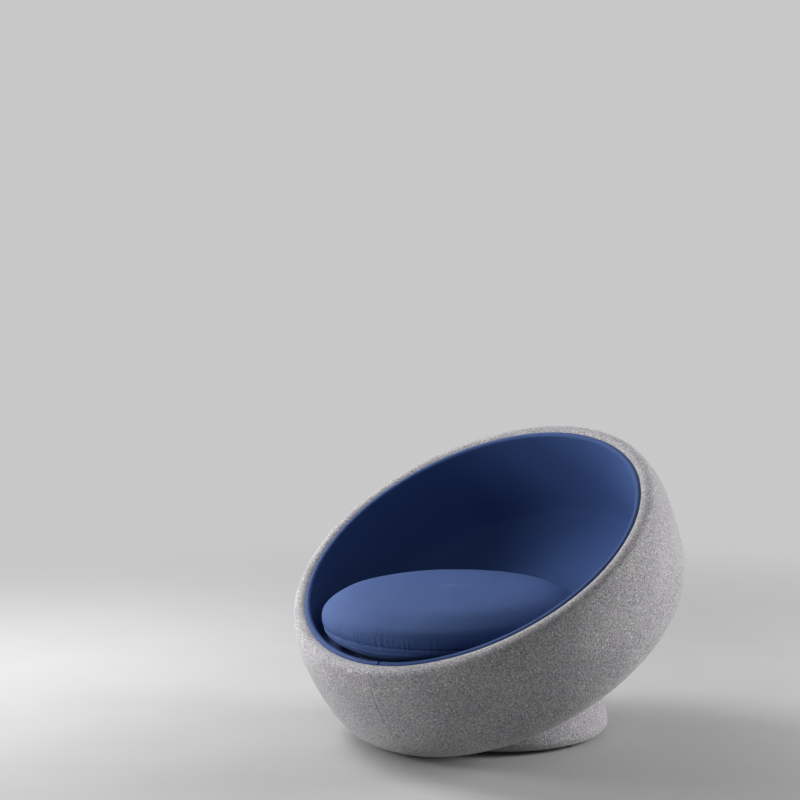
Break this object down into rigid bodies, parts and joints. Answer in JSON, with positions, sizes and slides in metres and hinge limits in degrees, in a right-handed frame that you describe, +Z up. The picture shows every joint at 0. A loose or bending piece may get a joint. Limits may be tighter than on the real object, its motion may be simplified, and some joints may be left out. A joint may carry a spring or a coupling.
{
  "type": "upholstered pod lounge chair",
  "caption": "Tilted bowl-shaped lounge chair in felt with a padded cloth liner and a loose round seat cushion, carried by a low tapered round plinth.",
  "frame": {"origin": "on the floor under the middle of the chair's footprint", "axes": "+Z up, the seat opens towards -Y, +X to the right seen from the front"},
  "size_m": [1.12, 1.0442, 0.8379],
  "materials": {
    "felt": "mottled grey wool felt, matt",
    "blue_cloth": "blue woven wool upholstery cloth, soft sheen",
    "foam": "open-cell upholstery foam",
    "moulding": "glass-fibre moulding, unpainted",
    "plywood": "birch plywood, sanded",
    "steel": "zinc plated",
    "black_plastic": "moulded polyethylene, matt",
    "black_cloth": "non-woven dust cloth",
    "zip_tape": "dark blue coil zip"
  },
  "bodies": {
    "base": {"bowl_felt_cover": "felt", "bowl_outer_foam": "foam", "bowl_moulding": "moulding", "liner_foam": "foam", "liner_cover": "blue_cloth", "saddle_plate": "plywood", "saddle_washer_1": "steel", "saddle_bolt_1": "steel", "saddle_tee_nut_1": "steel", "saddle_washer_2": "steel", "saddle_bolt_2": "steel", "saddle_tee_nut_2": "steel", "saddle_washer_3": "steel", "saddle_bolt_3": "steel", "saddle_tee_nut_3": "steel", "saddle_washer_4": "steel", "saddle_bolt_4": "steel", "saddle_tee_nut_4": "steel", "plinth_felt_cover": "felt", "plinth_foam": "foam", "plinth_wall": "plywood", "plinth_base_board": "plywood", "plinth_dust_cover": "black_cloth", "cradle_rib_left": "plywood", "cradle_rib_right": "plywood", "cradle_rib_front": "plywood", "cradle_rib_back": "plywood", "rib_screw_1": "steel", "rib_screw_2": "steel", "rib_screw_3": "steel", "rib_screw_4": "steel", "rib_screw_5": "steel", "rib_screw_6": "steel", "rib_screw_7": "steel", "rib_screw_8": "steel", "glide_1": "black_plastic", "glide_2": "black_plastic", "glide_3": "black_plastic", "glide_4": "black_plastic", "glide_5": "black_plastic", "glide_6": "black_plastic"},
    "cushion": {"cushion_cover": "blue_cloth", "cushion_core": "foam", "cushion_zip": "zip_tape", "cushion_zip_slider": "steel"}
  },
  "joints": [
    {"name": "cushion_lift", "type": "slide", "parent": "base", "child": "cushion", "axis": [0, 0, 1], "range_m": [0, 0.6]}
  ]
}
